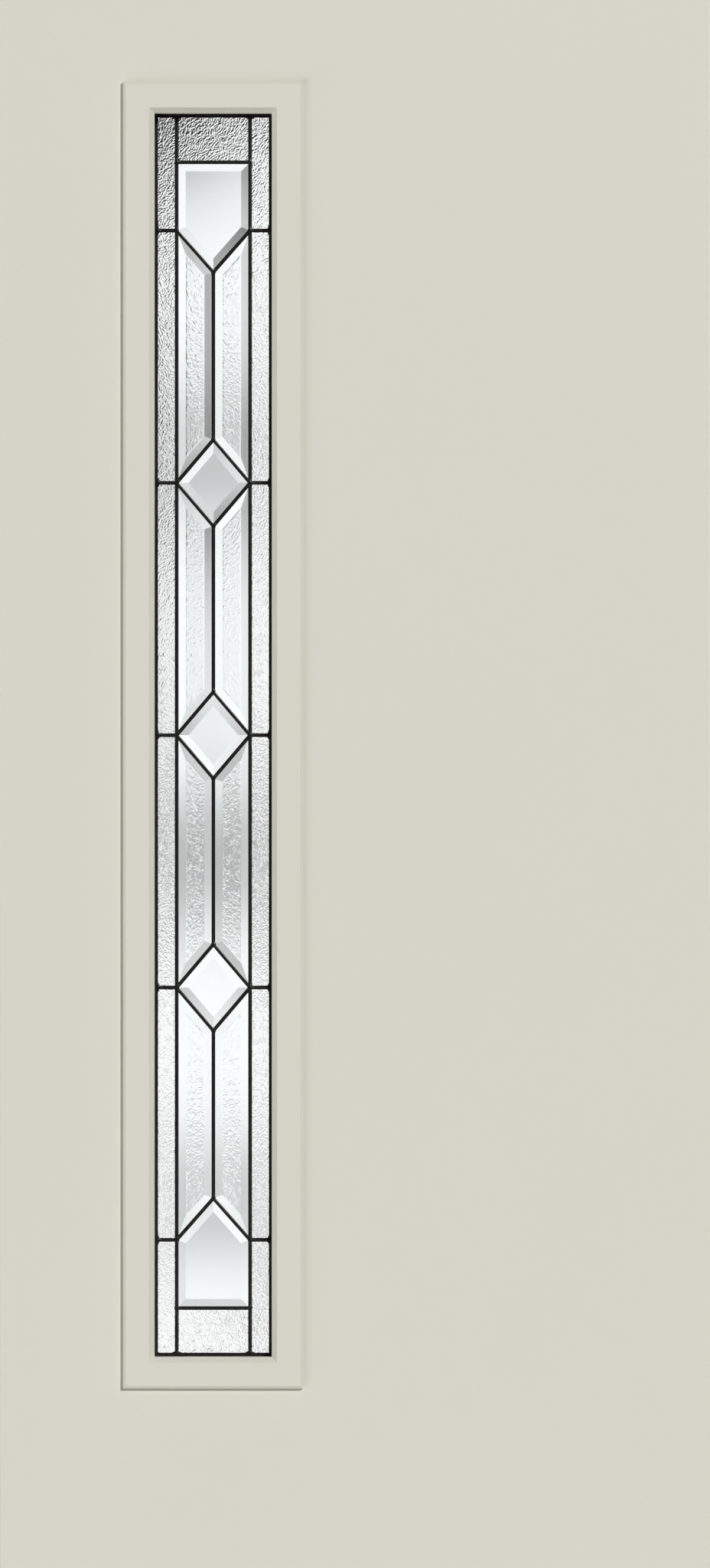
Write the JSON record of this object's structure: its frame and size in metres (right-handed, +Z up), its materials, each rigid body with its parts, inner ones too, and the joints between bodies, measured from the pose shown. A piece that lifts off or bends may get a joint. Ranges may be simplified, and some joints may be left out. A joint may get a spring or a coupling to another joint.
{
  "type": "steel entry door leaf with a narrow decorative lite",
  "caption": "Flush insulated steel entry door leaf with a tall narrow leaded and bevelled glass lite in a moulded frame, edges prepared for hinges.",
  "frame": {"origin": "bottom of the hinge edge, at mid thickness", "axes": "+Z up along the hinge edge, +X out of the hinge edge towards the jamb, -Y out of the exterior face"},
  "size_m": [0.9081, 0.0634, 2.0066],
  "materials": {
    "face_paint": "smooth factory primer, warm stone grey, satin",
    "edge_wood": "planed softwood and veneer lumber, bare",
    "foam": "rigid polyurethane foam",
    "lite_frame_plastic": "fine moulded grain, satin",
    "screw_steel": "zinc plated",
    "plug_plastic": "moulded, satin",
    "foam_tape": "closed cell foam, matt",
    "glazing_tape": "butyl, matt",
    "float_glass": "clear tempered float",
    "spacer_metal": "mill finish",
    "edge_sealant": "matt",
    "patina_lead": "lead with black patina, soft sheen",
    "textured_glass": "clear cast glass with a fine rolled texture",
    "bevelled_glass": "clear, ground and polished bevels",
    "chipped_glass": "clear, polished bevels round a fern-like chipped field"
  },
  "bodies": {
    "root": {"exterior_skin": "face_paint", "interior_skin": "face_paint", "hinge_stile": "edge_wood", "lock_stile": "edge_wood", "top_rail": "edge_wood", "bottom_rail": "edge_wood", "foam_core": "foam", "exterior_lite_frame": "lite_frame_plastic", "interior_lite_frame": "lite_frame_plastic", "frame_screws": "screw_steel", "screw_plugs": "plug_plastic", "exterior_perimeter_seal": "foam_tape", "interior_perimeter_seal": "foam_tape", "exterior_glazing_tape": "glazing_tape", "interior_glazing_tape": "glazing_tape", "exterior_pane": "float_glass", "interior_pane": "float_glass", "spacer_frame": "spacer_metal", "unit_edge_seal": "edge_sealant", "border_came": "patina_lead", "left_upright_came": "patina_lead", "right_upright_came": "patina_lead", "left_cross_cames": "patina_lead", "right_cross_cames": "patina_lead", "top_bar_came": "patina_lead", "bottom_bar_came": "patina_lead", "top_chevron_came": "patina_lead", "bottom_chevron_came": "patina_lead", "upper_diamond_came": "patina_lead", "middle_diamond_came": "patina_lead", "lower_diamond_came": "patina_lead", "centre_cames": "patina_lead", "left_border_glass": "textured_glass", "right_border_glass": "textured_glass", "top_panel_glass": "textured_glass", "bottom_panel_glass": "textured_glass", "top_house_bevel": "bevelled_glass", "bottom_house_bevel": "bevelled_glass", "upper_diamond_bevel": "bevelled_glass", "middle_diamond_bevel": "bevelled_glass", "lower_diamond_bevel": "bevelled_glass", "left_long_bevels": "chipped_glass", "right_long_bevels": "chipped_glass"}
  },
  "joints": []
}
